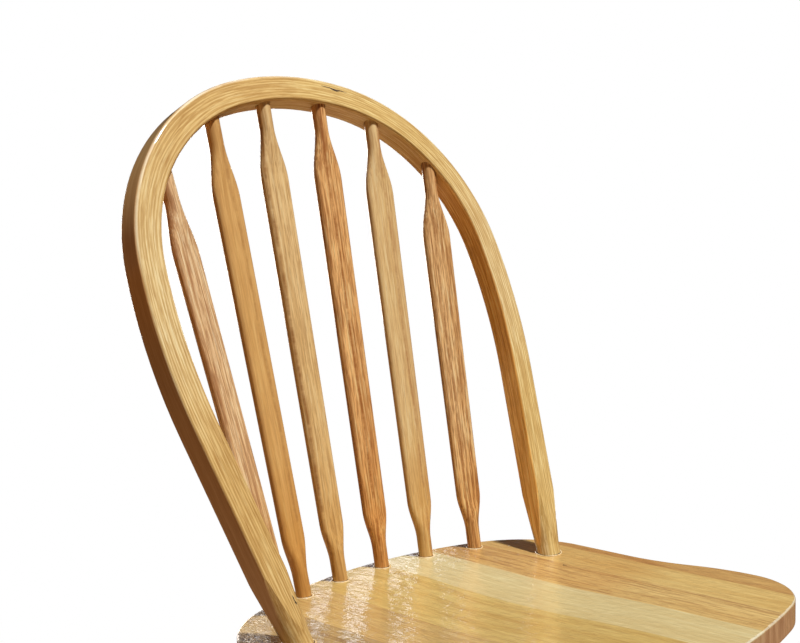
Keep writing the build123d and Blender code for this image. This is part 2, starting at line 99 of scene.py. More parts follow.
# A small writer of shader formulas: each call adds a node or a few, and returns the output
class Formula:
    def __init__(self, tree):
        self.tree = tree

    def link(self, value, socket):
        if isinstance(value, bpy.types.NodeSocket):
            self.tree.links.new(value, socket)
        else:
            socket.default_value = value

    def math(self, operation, *values):
        node = self.tree.nodes.new("ShaderNodeMath")
        node.operation = operation
        for value, socket in zip(values, node.inputs):
            self.link(value, socket)
        return node.outputs[0]

    def product(self, first, *others):
        for other in others:
            first = self.math("MULTIPLY", first, other)
        return first

    # From low where the value is 0 to high where it is 1
    def span(self, value, low, high):
        return self.math("MULTIPLY_ADD", value, high - low, low)

    # From 0 at low to 1 at high, which may also be the smaller of the two
    def ramp(self, value, low, high):
        node = self.tree.nodes.new("ShaderNodeMapRange")
        node.interpolation_type = "SMOOTHSTEP"
        self.link(value, node.inputs["Value"])
        node.inputs["From Min"].default_value = low
        node.inputs["From Max"].default_value = high
        return node.outputs[0]

    def pick(self, test, first, second):
        rest = self.math("SUBTRACT", 1.0, test)
        return self.math("ADD", self.product(test, first), self.product(rest, second))

    def vector(self, operation, *values):
        node = self.tree.nodes.new("ShaderNodeVectorMath")
        node.operation = operation
        for value, socket in zip(values, node.inputs):
            self.link(value, socket)
        return node.outputs["Value" if operation in ("DOT_PRODUCT", "LENGTH") else "Vector"]

    def split(self, vector):
        node = self.tree.nodes.new("ShaderNodeSeparateXYZ")
        self.link(vector, node.inputs[0])
        return node.outputs

    def join(self, x, y, z):
        node = self.tree.nodes.new("ShaderNodeCombineXYZ")
        for value, socket in zip((x, y, z), node.inputs):
            self.link(value, socket)
        return node.outputs[0]

    # Place on the object
    def place(self):
        return self.tree.nodes.new("ShaderNodeTexCoord").outputs["Object"]

    def noise(self, vector, scale, detail=2.0, roughness=0.5):
        node = self.tree.nodes.new("ShaderNodeTexNoise")
        self.link(vector, node.inputs["Vector"])
        node.inputs["Scale"].default_value = scale
        node.inputs["Detail"].default_value = detail
        node.inputs["Roughness"].default_value = roughness
        return node.outputs[0]

    def mix(self, share, first, second, blend="MIX"):
        node = self.tree.nodes.new("ShaderNodeMix")
        node.data_type = "RGBA"
        node.blend_type = blend
        self.link(share, node.inputs[MIX_SHARE])
        self.link(first, node.inputs[MIX_FIRST])
        self.link(second, node.inputs[MIX_SECOND])
        return node.outputs[MIX_RESULT]

    def bump(self, height, strength, distance):
        node = self.tree.nodes.new("ShaderNodeBump")
        node.inputs["Strength"].default_value = strength
        node.inputs["Distance"].default_value = distance
        self.link(height, node.inputs["Height"])
        return node.outputs[0]


def colour(red, green, blue):
    return (red, green, blue, 1.0)


def new_material(name):
    material = bpy.data.materials.new(name)
    material.use_nodes = True
    return material, Formula(material.node_tree), material.node_tree.nodes["Principled BSDF"]


# Grain space of a straight piece: X and Y lie across the grain and Z runs along it
def straight(origin, along, across):
    along = along.normalized()
    across = (across - along * across.dot(along)).normalized()
    third = along.cross(across)

    def grain(f):
        place = f.vector("SUBTRACT", f.place(), origin)
        return f.join(*(f.vector("DOT_PRODUCT", place, way) for way in (across, third, along)))
    return grain


# Grain space of the bent bow: X is the distance outward from its centre line, Y the depth
# behind its front face, and Z the length along the bend from the foot
def bow_grain(f):
    place = f.vector("SUBTRACT", f.place(), bow_foot)
    sideways = f.vector("DOT_PRODUCT", place, ACROSS)
    side = f.math("ABSOLUTE", sideways)
    sitters_left = f.math("GREATER_THAN", sideways, 0.0)
    height = f.vector("DOT_PRODUCT", place, UP_BOW)
    depth = f.vector("DOT_PRODUCT", place, INTO_BOW)

    # The straight leg
    from_foot = f.math("SUBTRACT", side, BOW_FOOT_X)
    length = f.math("MULTIPLY_ADD", from_foot, sin(splay), f.product(height, cos(splay)))
    outward = f.math("MULTIPLY_ADD", height, -sin(splay), f.product(from_foot, cos(splay)))

    # Then the arcs, each taking over where it starts. The last has the radius that brings it to
    # the middle.
    heading = pi / 2 - splay
    x = BOW_FOOT_X + BOW_LEG_LENGTH * cos(heading)
    y = BOW_LEG_LENGTH * sin(heading)
    run = BOW_LEG_LENGTH
    crown_sweep = pi / 2 + splay - radians(BOW_SIDE_SWEEP) - radians(BOW_SHOULDER_SWEEP)
    arcs = (
        (BOW_SIDE_RADIUS, radians(BOW_SIDE_SWEEP)),
        (BOW_SHOULDER_RADIUS, radians(BOW_SHOULDER_SWEEP)),
        (None, crown_sweep),
    )
    for radius, sweep in arcs:
        if radius is None:
            radius = x / sin(crown_sweep)
        start = heading - pi / 2
        centre_x = x - radius * cos(start)
        centre_y = y - radius * sin(start)
        offset_x = f.math("SUBTRACT", side, centre_x)
        offset_y = f.math("SUBTRACT", height, centre_y)
        reach = f.vector("LENGTH", f.join(offset_x, offset_y, 0.0))
        turn = f.math("ARCTAN2", offset_y, offset_x)
        past_start = f.math("MULTIPLY_ADD", offset_x, -sin(start), f.product(offset_y, cos(start)))
        beyond = f.math("GREATER_THAN", past_start, 0.0)
        arc_length = f.math("MULTIPLY_ADD", f.math("SUBTRACT", turn, start), radius, run)
        outward = f.pick(beyond, f.math("SUBTRACT", reach, radius), outward)
        length = f.pick(beyond, arc_length, length)
        heading += sweep
        x = centre_x + radius * cos(heading - pi / 2)
        y = centre_y + radius * sin(heading - pi / 2)
        run += radius * sweep

    # The other half carries on from this one, counted from the crown
    length = f.pick(sitters_left, length, f.math("SUBTRACT", 2 * run, length))
    return f.join(outward, depth, length)


# Noise layers of the wood: scale, share of it along the grain, detail and roughness. Swell is
# the ripple in the lacquer.
GRAIN_LAYERS = {
    "wander": (9.0, 0.07, 3.0, 0.5),
    "drift": (34.0, 0.16, 2.0, 0.5),
    "shake": (150.0, 0.10, 2.0, 0.5),
    "fibre": (620.0, 0.038, 3.0, 0.65),
    "fine": (1000.0, 0.035, 2.0, 0.6),
    "band": (120.0, 0.02, 5.0, 0.66),
    "fleck": (700.0, 0.08, 2.0, 0.5),
    "broad": (15.0, 0.22, 2.0, 0.5),
    "vein": (330.0, 0.055, 3.0, 0.6),
    "swell": (150.0, 0.6, 2.0, 0.40),
}

# How far a layer moves the growth rings
RING_SHIFTS = {"wander": 0.030, "drift": 0.0035, "shake": 0.0017}

# Step from one piece of wood to the next, for each unit of its seed
SEED_STEPS = (0.37, 0.61, 1.13)

# The dark part of a ring, as the height of its wave where it sets in and is full
LATE_WOOD = (-0.3, 0.95)
LATE_STRENGTH = 0.75

# Pores: how much the rings and the bands gather them, the noise where they set in and are full,
# how dark they are and how the streak colour deepens in them
PORES_IN_RINGS = 0.03
PORES_IN_BANDS = 0.12
PORE_LEVELS = (0.66, 0.74)
PORE_STRENGTH = 0.5
PORE_TINT = colour(0.70, 0.56, 0.46)

# Height of the surface for each layer, and how much of it shows through the lacquer
FIBRE_RELIEF = 0.5
FINE_RELIEF = 0.2
PORE_RELIEF = 0.6
RELIEF_THROUGH_LACQUER = 0.5
RELIEF_STRENGTH = 0.3
RELIEF_DISTANCE = 0.0003


# Lacquered wood. tones are the light and the dark end of its growth rings, and the streak of
# its darkest lines. rings, streaks, pores, comb (fine lines) and figure (broad clouds) are
# strengths, heart is where the rings' middle lies, ripple is the height of the lacquer's waves,
# and the last argument paints the piece's own marks and, on the bow and the seat's boards,
# painted light and shade.
def wood(
    name, grain, tones, *, rings, streaks, pores, ripple, seed,
    heart=(0.05, 0.11), ring_width=0.0062, comb=1.0, figure=0.35, marks_and_painted_light=None,
):
    material, f, shader = new_material(name)
    light, dark, streak = (colour(*tone) for tone in tones)
    own = grain(f)
    place = f.vector("ADD", own, Vector([seed * step for step in SEED_STEPS]))

    def grained(scale, length_share, detail, roughness):
        squeezed = f.vector("MULTIPLY", place, Vector((1.0, 1.0, length_share)))
        return f.noise(squeezed, scale, detail=detail, roughness=roughness)

    layer = {key: grained(*values) for key, values in GRAIN_LAYERS.items()}

    # Growth rings round a heart that lies well outside the piece
    x, y, _ = f.split(own)
    ring = f.vector("LENGTH", f.join(f.math("ADD", x, heart[0]), f.math("ADD", y, heart[1]), 0.0))
    for key, shift in RING_SHIFTS.items():
        ring = f.math("MULTIPLY_ADD", layer[key], shift, ring)
    late = f.ramp(f.math("SINE", f.product(ring, 2 * pi / ring_width)), *LATE_WOOD)
    tone = f.mix(f.product(late, LATE_STRENGTH * rings), light, dark)

    # Figure: the layer, its noise where it sets in and is full, its strength and its colour
    pale = f.mix(1.0, light, colour(1.0, 1.0, 1.0), blend="SOFT_LIGHT")
    figures = (
        ("band", 0.50, 0.72, 0.90 * streaks, streak),
        ("vein", 0.53, 0.60, 0.62 * streaks, streak),
        ("broad", 0.35, 0.75, figure, dark),
        ("fibre", 0.52, 0.58, 0.36 * comb, streak),
        ("fibre", 0.46, 0.36, 0.35 * comb, pale),
        ("fine", 0.54, 0.64, 0.40 * comb, streak),
    )
    for key, low, high, strength, paint in figures:
        tone = f.mix(f.product(f.ramp(layer[key], low, high), strength), tone, paint)

    # Open pores and flecks: short dark dashes along the grain
    gather = f.math("MULTIPLY_ADD", late, PORES_IN_RINGS, f.product(layer["band"], PORES_IN_BANDS))
    pore = f.product(f.ramp(f.math("ADD", layer["fleck"], gather), *PORE_LEVELS), pores)
    deep = f.mix(1.0, streak, PORE_TINT, blend="MULTIPLY")
    tone = f.mix(f.product(pore, PORE_STRENGTH), tone, deep)
    if marks_and_painted_light:
        tone = marks_and_painted_light(f, tone, SimpleNamespace(own=own, light=light, dark=dark, streak=streak))

    f.link(tone, shader.inputs["Base Color"])
    f.link(f.span(layer["fibre"], 0.36, 0.52), shader.inputs["Roughness"])
    shader.inputs["Specular IOR Level"].default_value = 0.25
    shader.inputs["Coat Weight"].default_value = 0.9
    shader.inputs["Coat Roughness"].default_value = 0.03
    shader.inputs["Coat IOR"].default_value = 1.5

    # The lacquer bridges the pores, and lies in a faint ripple
    raised = f.product(layer["fibre"], FIBRE_RELIEF)
    relief = f.math("SUBTRACT", raised, f.product(pore, PORE_RELIEF))
    relief = f.math("MULTIPLY_ADD", layer["fine"], FINE_RELIEF, relief)
    film = f.math("MULTIPLY_ADD", relief, RELIEF_THROUGH_LACQUER, layer["swell"])
    f.link(f.bump(relief, RELIEF_STRENGTH, RELIEF_DISTANCE), shader.inputs["Normal"])
    f.link(f.bump(film, 1.0, ripple), shader.inputs["Coat Normal"])
    return material


# Bands of the bow, as heights above the seat where each sets in and is full
MIDDLE_BAND = (0.14, 0.26)
UPPER_BAND = (0.20, 0.30)
HIGHLIGHT_BAND = (0.28, 0.36)
CROWN_BAND = (0.30, 0.43)

# Parts of the bow, as distances where each sets in and is full: to the sitter's left, behind
# the front face, outward from the centre line, and both of these at the painted highlight's corner
LEFT_HALF = (-0.02, 0.02)
FRONT_FACE = (0.005, 0.002)
OUTER_FACE = (0.0108, 0.0116)
CORNER_OUTWARD = (0.0088, 0.0110)
CORNER_DEPTH = (0.0024, 0.0006)

# Tints of the bow's faces. The front's go by side and by height. The outer face's are painted
# shade, lightened in its upper band. The inner face's are painted light, as of the bounce from the
# seat. The last is the pale colour of the painted highlight along its outer front corner.
BOW_TINTS = SimpleNamespace(
    front_right_leg=colour(0.96, 0.88, 0.72),
    front_left_leg=colour(1.05, 1.04, 0.90),
    front_middle=colour(1.08, 1.12, 1.18),
    outer_leg_painted_shade=colour(0.82, 0.70, 0.70),
    outer_upper_painted_light=colour(1.26, 1.00, 0.84),
    outer_crown_painted_shade=colour(0.78, 0.64, 0.53),
    inner_leg_painted_bounce=colour(1.42, 1.17, 0.86),
    inner_crown_painted_light=colour(1.05, 1.14, 1.30),
    corner_highlight=colour(0.94, 0.86, 0.68),
)

# The grain is calmer on the bow's outer side, towards a mean of its light and dark
OUTER_CALM = 0.60
OUTER_DARK_SHARE = 0.35

# The painted highlight on the outer corner: scale and detail of its patches along the bow, and
# their levels and strength
HIGHLIGHT_PATCHES = (26.0, 3.0)
HIGHLIGHT_LEVELS = (0.30, 0.62)
HIGHLIGHT_STRENGTH = 0.70


# Each face of the bow has its tint: the front's by side and by height, the outer face's painted
# shade and the inner face's painted light. A painted highlight runs pale along the outer corner
# of its front near the top.
def bow_tints_and_painted_light(f, tone, piece):
    outward, depth, along = f.split(piece.own)
    side, _, height = f.split(f.place())

    def band(limits):
        return f.ramp(height, seat_high.z + limits[0], seat_high.z + limits[1])

    crown = band(CROWN_BAND)
    middle = f.product(band(MIDDLE_BAND), f.math("SUBTRACT", 1.0, crown))
    front = f.mix(f.ramp(side, *LEFT_HALF), BOW_TINTS.front_right_leg, BOW_TINTS.front_left_leg)
    front = f.mix(middle, front, BOW_TINTS.front_middle)
    tone = f.mix(f.ramp(depth, *FRONT_FACE), tone, front, blend="MULTIPLY")

    # Painted shade on the outer face, lighter in its upper band and darker at the crown
    outer_painted_shading = f.mix(band(UPPER_BAND), BOW_TINTS.outer_leg_painted_shade, BOW_TINTS.outer_upper_painted_light)
    outer_painted_shading = f.mix(crown, outer_painted_shading, BOW_TINTS.outer_crown_painted_shade)
    calm = f.mix(OUTER_CALM, tone, f.mix(OUTER_DARK_SHARE, piece.light, piece.dark))
    outer_painted_shading = f.mix(1.0, calm, outer_painted_shading, blend="MULTIPLY")
    tone = f.mix(f.ramp(outward, *OUTER_FACE), tone, outer_painted_shading)

    # Painted light on the inner face, as of the bounce from the seat
    inner_painted_light = f.mix(crown, BOW_TINTS.inner_leg_painted_bounce, BOW_TINTS.inner_crown_painted_light)
    on_inner = f.ramp(outward, -OUTER_FACE[0], -OUTER_FACE[1])
    tone = f.mix(on_inner, tone, inner_painted_light, blend="MULTIPLY")

    # A painted highlight, pale in patches along the bow, on the outer corner of its front near the
    # top
    scale, detail = HIGHLIGHT_PATCHES
    highlight_patches = f.ramp(f.noise(f.join(along, 0.0, 0.0), scale, detail=detail), *HIGHLIGHT_LEVELS)
    corner = f.product(f.ramp(outward, *CORNER_OUTWARD), f.ramp(depth, *CORNER_DEPTH))
    return f.mix(f.product(corner, highlight_patches, band(HIGHLIGHT_BAND), HIGHLIGHT_STRENGTH), tone, BOW_TINTS.corner_highlight)


# The way across a spindle's grain space that lies square to the camera's view
VEIN_ACROSS = Vector((0.61, -0.79, 0))

# How a vein wanders sideways: scale and detail of the noise, and its whole reach
VEIN_WANDERS = ((9.0, 2.0, 0.0050), (90.0, 3.0, 0.0016))

# Breaks in a vein: scale, detail, roughness, and the noise where the vein sets in and is full
VEIN_BREAKS = (20.0, 5.0, 0.7)
VEIN_LEVELS = (0.38, 0.58)

# A spindle darkens over this part of its length, from above its foot
FOOT_DARKENS = (0.16, 0.04)
FOOT_TINT = colour(0.90, 0.78, 0.60)


# A spindle darkens towards its foot. A sheet of darker wood that it was turned through shows as
# a broken vein down it, at a place across the way that it faces.
def spindle_marks(vein_place, half_width, strength):
    centre = vein_place + sum(reach for _, _, reach in VEIN_WANDERS) / 2

    def paint(f, tone, piece):
        across = f.vector("DOT_PRODUCT", piece.own, VEIN_ACROSS)
        along = f.split(piece.own)[2]
        line = f.join(0.0, 0.0, along)
        for scale, detail, reach in VEIN_WANDERS:
            across = f.math("MULTIPLY_ADD", f.noise(line, scale, detail=detail), reach, across)
        near = f.ramp(f.math("ABSOLUTE", f.math("SUBTRACT", across, centre)), half_width, 0.0)
        broken = f.ramp(f.noise(line, *VEIN_BREAKS), *VEIN_LEVELS)
        tone = f.mix(f.product(near, broken, strength), tone, piece.streak)
        return f.mix(f.ramp(along, *FOOT_DARKENS), tone, FOOT_TINT, blend="MULTIPLY")
    return paint


# The darker rear of the boards at the sitter's left, partly their own rosier tone and partly
# painted shade where the bow's leg on that side shades them: where it sets in and is full, back
# and sideways
REAR_BACK = (-0.10, -0.04)
REAR_SIDE = (0.075, 0.10)
REAR_SHADE_TINT = colour(0.94, 0.84, 0.76)

# End grain: the upward part of the normal where it sets in and is full, its stripes' stretch,
# scale, detail and roughness, and the noise of its dark and of its pale stripes
END_GRAIN_LEVELS = (0.35, 0.10)
STRIPE_STRETCH = Vector((1.0, 1.0, 0.10))
STRIPES = (130.0, 4.0, 0.62)
DARK_STRIPES = (0.40, 0.66)
PALE_STRIPES = (0.42, 0.30)
ROSY = colour(0.92, 0.64, 0.42)
ROSY_SHARE = 0.60
DEEP_ROSY = colour(0.80, 0.50, 0.30)
DEEP_ROSY_SHARE = 0.40

# The painted highlight on the rounded rim between edge and top, by the same part of the normal:
# where it sets in and is full from below and from above, and how pale it is painted
RIM_FROM = (0.25, 0.55)
RIM_TO = (0.985, 0.90)
RIM_HIGHLIGHT_TINT = colour(1.0, 1.0, 0.86)
RIM_HIGHLIGHT_STRENGTH = 0.4


# A board is darker at the rear on the sitter's left, partly with painted shade, shows darker end
# grain on its upright edge, and has a painted highlight along its rounded rim
def board_marks_and_painted_light(f, tone, piece):
    place = f.place()
    side, back, _ = f.split(place)
    # Painted shade, with the boards' own rosier tone, towards the rear at the sitter's left
    rear = f.product(f.ramp(back, *REAR_BACK), f.ramp(side, *REAR_SIDE))
    tone = f.mix(rear, tone, REAR_SHADE_TINT, blend="MULTIPLY")

    stripe = f.noise(f.vector("MULTIPLY", place, STRIPE_STRETCH), *STRIPES)
    rosy = f.mix(ROSY_SHARE, piece.dark, ROSY)
    deep = f.mix(DEEP_ROSY_SHARE, piece.streak, DEEP_ROSY)
    end_grain = f.mix(f.ramp(stripe, *DARK_STRIPES), rosy, deep)
    end_grain = f.mix(f.ramp(stripe, *PALE_STRIPES), end_grain, piece.light)
    level = f.split(f.tree.nodes.new("ShaderNodeNewGeometry").outputs["Normal"])[2]
    tone = f.mix(f.ramp(level, *END_GRAIN_LEVELS), tone, end_grain)

    # A painted highlight along the rounded rim
    rim = f.product(f.ramp(level, *RIM_FROM), f.ramp(level, *RIM_TO), RIM_HIGHLIGHT_STRENGTH)
    return f.mix(rim, tone, f.mix(1.0, piece.light, RIM_HIGHLIGHT_TINT, blend="SCREEN"))


def dress(node, material):
    for slot in bpy.data.objects[node].material_slots:
        slot.material = material


# Seeds of the wood, so that no two pieces are cut from the same place
SEAT_SEED_STEP = 1.7
BOW_SEED = 2.3
SPINDLE_SEED_STEP = 2.9
LEG_SEED = 30.0
LEG_SEED_STEP = 3.1
STRETCHER_SEED = 50.0
STRETCHER_SEED_STEP = 3.7

# Part of a piece's height that counts as its end
END_SHARE = 0.02


# Middle of the lowest and of the highest end of a node
def ends_of(node):
    points = [vertex.co for vertex in bpy.data.objects[node].data.vertices]
    low = min(point.z for point in points)
    high = max(point.z for point in points)
    reach = (high - low) * END_SHARE
    ends = []
    for level, sign in ((low, 1), (high, -1)):
        end = [point for point in points if sign * (point.z - level) < reach]
        least = Vector([min(point[axis] for point in end) for axis in range(3)])
        most = Vector([max(point[axis] for point in end) for axis in range(3)])
        ends.append((least + most) / 2)
    return ends


# Each stave of the seat, from the sitter's right to left: light, dark and streak colours, then
# the strength of its rings, streaks and pores
SEAT_TONES = (
    ((0.54, 0.37, 0.15), (0.43, 0.26, 0.10), (0.29, 0.16, 0.06), 0.6, 0.6, 0.8),
    ((0.40, 0.28, 0.115), (0.32, 0.20, 0.075), (0.22, 0.12, 0.045), 0.6, 0.7, 0.8),
    ((0.57, 0.41, 0.16), (0.47, 0.29, 0.09), (0.35, 0.19, 0.06), 0.6, 0.5, 0.6),
    ((0.62, 0.46, 0.16), (0.51, 0.33, 0.09), (0.39, 0.22, 0.06), 0.7, 0.5, 0.4),
    ((0.67, 0.58, 0.31), (0.60, 0.47, 0.21), (0.49, 0.34, 0.14), 0.4, 0.3, 0.2),
    ((0.71, 0.51, 0.20), (0.57, 0.36, 0.12), (0.34, 0.17, 0.06), 0.6, 1.0, 0.8),
    ((0.70, 0.52, 0.20), (0.59, 0.38, 0.12), (0.45, 0.26, 0.08), 0.5, 0.5, 0.4),
    ((0.62, 0.40, 0.14), (0.49, 0.27, 0.09), (0.33, 0.16, 0.05), 0.7, 0.8, 0.7),
)


def seat():
    for number, (*tones, rings, streaks, pores) in enumerate(SEAT_TONES, 1):
        node = f"seat_stave_{number}"
        low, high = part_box(node)
        origin = Vector(((low[0] + high[0]) / 2, 0, high[2]))
        material = wood(
            f"{node}_wood", straight(origin, BACK, ACROSS), tones,
            rings=rings, streaks=streaks, pores=pores, ripple=0.0009, seed=number * SEAT_SEED_STEP,
            ring_width=0.012, comb=0.55, figure=0.7, marks_and_painted_light=board_marks_and_painted_light,
        )
        dress(node, material)


BOW_TONES = ((0.82, 0.63, 0.31), (0.62, 0.41, 0.15), (0.46, 0.26, 0.08))


def bow():
    material = wood(
        "bow_wood", bow_grain, BOW_TONES,
        rings=1.1, streaks=0.5, pores=0.4, ripple=0.00009, seed=BOW_SEED,
        heart=(0.16, 0.05), ring_width=0.0028, comb=1.3, marks_and_painted_light=bow_tints_and_painted_light,
    )
    dress("bow", material)


# Each spindle from the sitter's right to left, in the same terms as the seat, and then the
# strength of its fine lines
SPINDLE_TONES = (
    ((0.91, 0.65, 0.36), (0.71, 0.44, 0.20), (0.44, 0.21, 0.09), 0.6, 0.9, 0.7, 1.7),
    ((0.80, 0.49, 0.18), (0.69, 0.39, 0.12), (0.50, 0.25, 0.08), 0.5, 0.2, 0.1, 0.8),
    ((0.94, 0.69, 0.34), (0.80, 0.53, 0.21), (0.40, 0.19, 0.06), 0.4, 0.5, 0.5, 0.9),
    ((1.00, 0.61, 0.25), (0.80, 0.42, 0.15), (0.40, 0.15, 0.04), 0.7, 0.9, 0.7, 1.5),
    ((0.91, 0.69, 0.35), (0.79, 0.53, 0.21), (0.52, 0.26, 0.10), 0.5, 0.4, 0.4, 0.9),
    ((0.94, 0.62, 0.29), (0.74, 0.42, 0.16), (0.38, 0.16, 0.05), 0.8, 0.9, 0.8, 1.8),
)

# The dark vein in each of them: its place across the spindle, its half width and its strength
SPINDLE_VEINS = (
    (-0.0030, 0.0012, 0.7), (0.0060, 0.0013, 0.8), (-0.0036, 0.0024, 1.0),
    (0.0020, 0.0018, 1.0), (0.0062, 0.0015, 0.8), (-0.0010, 0.0014, 0.9),
)


def spindles():
    for number, (values, vein) in enumerate(zip(SPINDLE_TONES, SPINDLE_VEINS), 1):
        node = f"spindle_{number}"
        foot, top = ends_of(node)
        *tones, rings, streaks, pores, comb = values
        material = wood(
            f"{node}_wood", straight(foot, top - foot, ACROSS), tones,
            rings=rings, streaks=streaks, pores=pores, ripple=0.00007,
            seed=number * SPINDLE_SEED_STEP, comb=comb, figure=0.6, marks_and_painted_light=spindle_marks(*vein),
        )
        dress(node, material)


# Light, dark and streak colours of the legs, and of the stretchers in turn
BASE_TONES = (
    ((0.70, 0.45, 0.18), (0.60, 0.35, 0.12), (0.46, 0.24, 0.08)),
    ((0.67, 0.42, 0.17), (0.57, 0.32, 0.11), (0.42, 0.21, 0.08)),
    ((0.72, 0.48, 0.20), (0.62, 0.37, 0.13), (0.48, 0.26, 0.09)),
    ((0.66, 0.40, 0.16), (0.56, 0.30, 0.10), (0.40, 0.19, 0.07)),
)
CORNERS = [f"{end}_{side}" for end in ("front", "rear") for side in ("left", "right")]


def dress_base(node, origin, along, across, tones, seed):
    material = wood(
        f"{node}_wood", straight(origin, along, across), tones,
        rings=0.6, streaks=0.5, pores=0.6, ripple=0.00007, seed=seed,
    )
    dress(node, material)


def base():
    for number, (corner, tones) in enumerate(zip(CORNERS, BASE_TONES)):
        node = f"leg_{corner}"
        foot, top = ends_of(node)
        dress_base(node, foot, top - foot, ACROSS, tones, LEG_SEED + number * LEG_SEED_STEP)
    stretchers = (
        ("side_stretcher_left", BACK, ACROSS),
        ("side_stretcher_right", BACK, ACROSS),
        ("cross_stretcher", ACROSS, BACK),
    )
    for number, (node, along, across) in enumerate(stretchers):
        low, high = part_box(node)
        middle = (Vector(low) + Vector(high)) / 2
        seed = STRETCHER_SEED + number * STRETCHER_SEED_STEP
        dress_base(node, middle, along, across, BASE_TONES[number], seed)


# A material with two colours and a roughness that follow one noise. levels are the noise where
# the second colour sets in and is full, or else the noise itself is its share.
def mottled(name, *, scale, detail, levels, colours, roughness):
    material, f, shader = new_material(name)
    noise = f.noise(f.place(), scale, detail=detail)
    tone = f.mix(f.ramp(noise, *levels) if levels else noise, *colours)
    f.link(tone, shader.inputs["Base Color"])
    f.link(f.span(noise, *roughness), shader.inputs["Roughness"])
    return material, f, shader, noise, tone


# Scuffs in the nylon: their stretch, scale and detail, the noise where they set in and are
# full, their strength and colour, and the strength and depth of the bumps that they make
SCUFF_STRETCH = Vector((1.0, 5.0, 1.0))
SCUFF_NOISE = (700.0, 3.0)
SCUFF_LEVELS = (0.6, 0.7)
SCUFF_STRENGTH = 0.5
SCUFF_COLOUR = colour(0.16, 0.13, 0.10)
SCUFF_BUMP = (0.3, 0.0002)


# Moulded nylon, scuffed along the way that the chair is pushed
def nylon(name):
    material, f, shader, _, tone = mottled(
        name, scale=320.0, detail=4.0, levels=(0.4, 0.7),
        colours=(colour(0.42, 0.33, 0.22), colour(0.36, 0.27, 0.17)), roughness=(0.42, 0.62),
    )
    scale, detail = SCUFF_NOISE
    scuff = f.noise(f.vector("MULTIPLY", f.place(), SCUFF_STRETCH), scale, detail=detail)
    tone = f.mix(f.product(f.ramp(scuff, *SCUFF_LEVELS), SCUFF_STRENGTH), tone, SCUFF_COLOUR)
    f.link(tone, shader.inputs["Base Color"])
    f.link(f.bump(scuff, *SCUFF_BUMP), shader.inputs["Normal"])
    return material


def steel(name):
    material, _, shader, _, _ = mottled(
        name, scale=900.0, detail=4.0, levels=None,
        colours=(colour(0.52, 0.51, 0.49), colour(0.38, 0.36, 0.34)), roughness=(0.25, 0.55),
    )
    shader.inputs["Metallic"].default_value = 1.0
    return material


def glides():
    material = nylon("glide_nylon")
    for corner in CORNERS:
        dress(f"glide_{corner}", material)
    dress("glide_nails", steel("nail_steel"))


# Turns a built mesh into a piece that stays with the chair
def add_piece(name, mesh_builder, material):
    bmesh.ops.recalc_face_normals(mesh_builder, faces=mesh_builder.faces)
    mesh = bpy.data.meshes.new(name)
    mesh_builder.to_mesh(mesh)
    mesh_builder.free()
    mesh.materials.append(material)
    piece = bpy.data.objects.new(name, mesh)
    bpy.context.collection.objects.link(piece)
    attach(piece, "root")


# A tube round a closed loop of points, with its own half thickness at each
def loop_tube(name, points, thicknesses, sides, material):
    mesh_builder = bmesh.new()
    rings = []
    count = len(points)
    for index, (point, thickness) in enumerate(zip(points, thicknesses)):
        along = (points[(index + 1) % count] - points[index - 1]).normalized()
        side = along.cross(UP).normalized()
        lift = side.cross(along)
        ring = []
        for corner in range(sides):
            angle = 2 * pi * corner / sides
            offset = side * cos(angle) + lift * sin(angle)
            ring.append(mesh_builder.verts.new(point + offset * thickness))
        rings.append(ring)
    for index, ring in enumerate(rings):
        following = rings[(index + 1) % count]
        for corner in range(sides):
            beside = (corner + 1) % sides
            corners = (ring[corner], ring[beside], following[beside], following[corner])
            mesh_builder.faces.new(corners).smooth = True
    add_piece(name, mesh_builder, material)


# Strength and depth of the bumps in the lacquer rings
LACQUER_BUMP = (0.3, 0.0003)


# Lacquer and glue gather in a thin pale ring where a round end enters the seat
def lacquer(name):
    material, f, shader, patch, _ = mottled(
        name, scale=260.0, detail=3.0, levels=(0.42, 0.62),
        colours=(colour(0.90, 0.74, 0.46), colour(0.76, 0.54, 0.26)), roughness=(0.12, 0.32),
    )
    f.link(f.bump(patch, *LACQUER_BUMP), shader.inputs["Normal"])
    return material


# Rings and seams round the feet of the bow and the spindles
RING_OFFSET = 0.0011
RING_HALF_WIDTH = 0.0007
SEAM_HALF_WIDTH = 0.0003
SEAM_HEIGHT = 0.0004
RING_STEPS = 40
RING_SIDES = 8

# Waves in a ring's thickness: their number round it, their share of it, and their turn in
# radians for each metre of its radius
RING_WAVES = ((3, 0.22, 900.0), (7, 0.12, 0.0))


def seat_ring(name, axis_point, run, radius, thickness, height, material):
    centre = axis_point + run * ((seat_high.z + height - axis_point.z) / run.z)
    lean_way = Vector((run.x, run.y, 0)).normalized()
    cross_way = Vector((-lean_way.y, lean_way.x, 0))
    points = []
    thicknesses = []
    for step in range(RING_STEPS):
        angle = 2 * pi * step / RING_STEPS
        offset = lean_way * (cos(angle) * radius / run.z) + cross_way * (sin(angle) * radius)
        waves = sum(share * sin(count * angle + turn * radius) for count, share, turn in RING_WAVES)
        points.append(centre + offset)
        thicknesses.append(thickness * (1 + waves))
    loop_tube(name, points, thicknesses, RING_SIDES, material)


